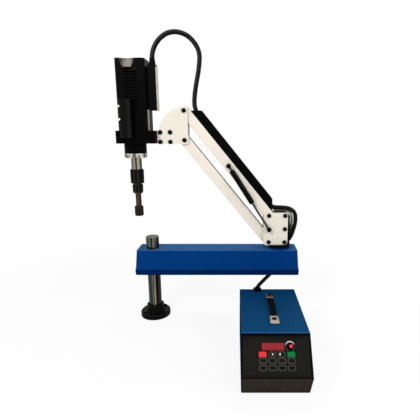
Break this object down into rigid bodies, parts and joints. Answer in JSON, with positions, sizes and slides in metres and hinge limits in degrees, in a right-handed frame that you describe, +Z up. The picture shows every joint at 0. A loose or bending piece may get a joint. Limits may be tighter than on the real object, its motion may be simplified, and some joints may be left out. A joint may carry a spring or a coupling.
{
  "type": "arm tapping machine",
  "caption": "Bench arm tapping machine: column, cast swivelling beam, parallelogram arm with gas spring, motor head with tap chuck, and separate control box.",
  "frame": {"origin": "centre of the column flange's foot on the bench", "axes": "+Z up along the column, +X along the beam towards the arm's swivel, -Y towards the control box and the operator"},
  "size_m": [0.6663, 0.558, 1.0685],
  "materials": {
    "black_paint": "satin black paint on steel",
    "ground_steel": "ground and polished steel",
    "blue_paint": "fine textured blue paint on sheet metal",
    "dark_panel": "matt near-black panel",
    "red_display": "red tinted window over a digit display",
    "black_plastic": "black moulded plastic",
    "black_rubber": "black rubber",
    "bright_metal": "bare machined metal",
    "drive_case": "cast drive and transformer cases",
    "dark_steel": "blackened steel",
    "blue_casting": "blue enamel on a casting",
    "bronze": "plain bearing bronze",
    "cream_paint": "cream powder coat",
    "black_steel": "blackened steel, oiled",
    "chrome_rod": "hard chrome",
    "black_aluminium": "black anodised aluminium",
    "motor_black": "black painted motor body",
    "pale_lid": "pale painted lid"
  },
  "bodies": {
    "base": {"column_flange": "black_paint", "column_post": "ground_steel", "control_cover": "blue_paint", "control_fascia": "dark_panel", "control_chassis": "black_paint", "display_window": "red_display", "keypad": "black_plastic", "handle_strap": "black_rubber", "handle_caps": "bright_metal", "control_feet": "black_rubber", "mains_inlet": "black_plastic", "control_gland": "black_plastic", "drive_unit": "drive_case", "control_cable_lower": "black_rubber"},
    "speed_dial": {"speed_knob": "black_plastic"},
    "rocker": {"power_switch": "black_plastic"},
    "collar": {"height_collar": "dark_steel", "collar_screw": "dark_steel", "control_cable_upper": "black_rubber"},
    "beam": {"beam_casting": "blue_casting", "column_bushes": "bronze", "swivel_bearing": "bronze"},
    "turntable": {"swivel_base": "black_paint", "pivot_grommet": "black_rubber", "pivot_nut": "dark_steel", "base_plates": "cream_paint", "base_screws": "black_steel", "base_pins": "black_steel", "base_cable_outer": "black_rubber", "base_cable_inner": "black_rubber"},
    "upper_arm": {"upper_link": "cream_paint", "upper_bushes": "bronze", "cable_cover": "black_plastic", "gas_stud": "black_steel"},
    "lower_arm": {"lower_link": "cream_paint", "lower_bushes": "bronze"},
    "spring_rod": {"gas_rod": "chrome_rod"},
    "spring_cylinder": {"gas_cylinder": "black_paint"},
    "head": {"head_plates": "cream_paint", "head_screws": "black_steel", "head_pins": "black_steel", "motor_clamp": "black_aluminium", "motor_housing": "black_plastic", "servo_motor": "motor_black", "gearbox_neck": "black_aluminium", "castle_ring": "bright_metal", "spacer_bar": "bright_metal", "back_plate": "black_aluminium", "terminal_box": "black_plastic", "terminal_lid": "pale_lid", "head_gland": "black_plastic", "grip": "black_plastic", "head_loop": "black_rubber"},
    "button_up": {"grip_button_up": "bright_metal"},
    "button_down": {"grip_button_down": "bright_metal"},
    "tool_spindle": {"spindle": "ground_steel", "chuck_body": "black_steel", "tap_holder": "ground_steel", "tap_socket": "black_steel"},
    "release_sleeve": {"quick_sleeve": "black_steel"}
  },
  "joints": [
    {"name": "beam_height", "type": "slide", "parent": "base", "child": "collar", "axis": [0, 0, 1], "range_m": [-0.09, 0.04], "deforming": ["control_cable_lower"]},
    {"name": "beam_swivel", "type": "hinge", "parent": "collar", "child": "beam", "pos_m": [0, 0, 0.2345], "axis": [0, 0, 1], "range_deg": [-6, 40], "deforming": ["control_cable_upper"]},
    {"name": "arm_swivel", "type": "hinge", "parent": "beam", "child": "turntable", "pos_m": [0.492, 0, 0.289], "axis": [0, 0, 1], "range_deg": [-90, 90]},
    {"name": "arm_lift", "type": "hinge", "parent": "turntable", "child": "upper_arm", "pos_m": [0.45, 0, 0.4145], "axis": [0, 1, 0], "range_deg": [-43, 13], "deforming": ["base_cable_outer", "base_cable_inner", "head_loop"]},
    {"name": "lower_lift", "type": "hinge", "parent": "turntable", "child": "lower_arm", "pos_m": [0.45, 0, 0.311], "axis": [0, 1, 0], "range_deg": [-43, 13]},
    {"name": "head_level", "type": "hinge", "parent": "upper_arm", "child": "head", "pos_m": [0.13975, 0, 0.79763], "axis": [0, 1, 0], "range_deg": [-13, 43]},
    {"name": "rod_tilt", "type": "hinge", "parent": "turntable", "child": "spring_rod", "pos_m": [0.45, -0.033, 0.36275], "axis": [0, 1, 0], "range_deg": [-38, 12]},
    {"name": "cylinder_tilt", "type": "hinge", "parent": "upper_arm", "child": "spring_cylinder", "pos_m": [0.29833, -0.033, 0.60179], "axis": [0, 1, 0], "range_deg": [-2, 6]},
    {"name": "spindle_turn", "type": "hinge", "parent": "head", "child": "tool_spindle", "pos_m": [-0.04476, 0, 0.68263], "axis": [0, 0, 1], "continuous": true},
    {"name": "sleeve_slide", "type": "slide", "parent": "tool_spindle", "child": "release_sleeve", "axis": [0, 0, 1], "range_m": [0, 0.003], "stiffness_N_per_m": 1500},
    {"name": "button_up_press", "type": "slide", "parent": "head", "child": "button_up", "axis": [0.7071, 0.7071, 0], "range_m": [0, 0.002], "stiffness_N_per_m": 500},
    {"name": "button_down_press", "type": "slide", "parent": "head", "child": "button_down", "axis": [0.7071, 0.7071, 0], "range_m": [0, 0.002], "stiffness_N_per_m": 500},
    {"name": "speed_turn", "type": "hinge", "parent": "base", "child": "speed_dial", "pos_m": [0.4755, -0.45132, 0.14037], "axis": [0, -0.802, 0.5973], "range_deg": [-150, 150]},
    {"name": "power_rock", "type": "hinge", "parent": "base", "child": "rocker", "pos_m": [0.4985, -0.138, 0.06], "axis": [1, 0, 0], "range_deg": [-12, 0]}
  ],
  "couplings": [
    {"joint": "lower_lift", "follows": "arm_lift", "ratio": 1},
    {"joint": "head_level", "follows": "arm_lift", "ratio": -1},
    {"joint": "rod_tilt", "follows": "arm_lift", "ratio": 0.87},
    {"joint": "cylinder_tilt", "follows": "arm_lift", "ratio": -0.13}
  ]
}
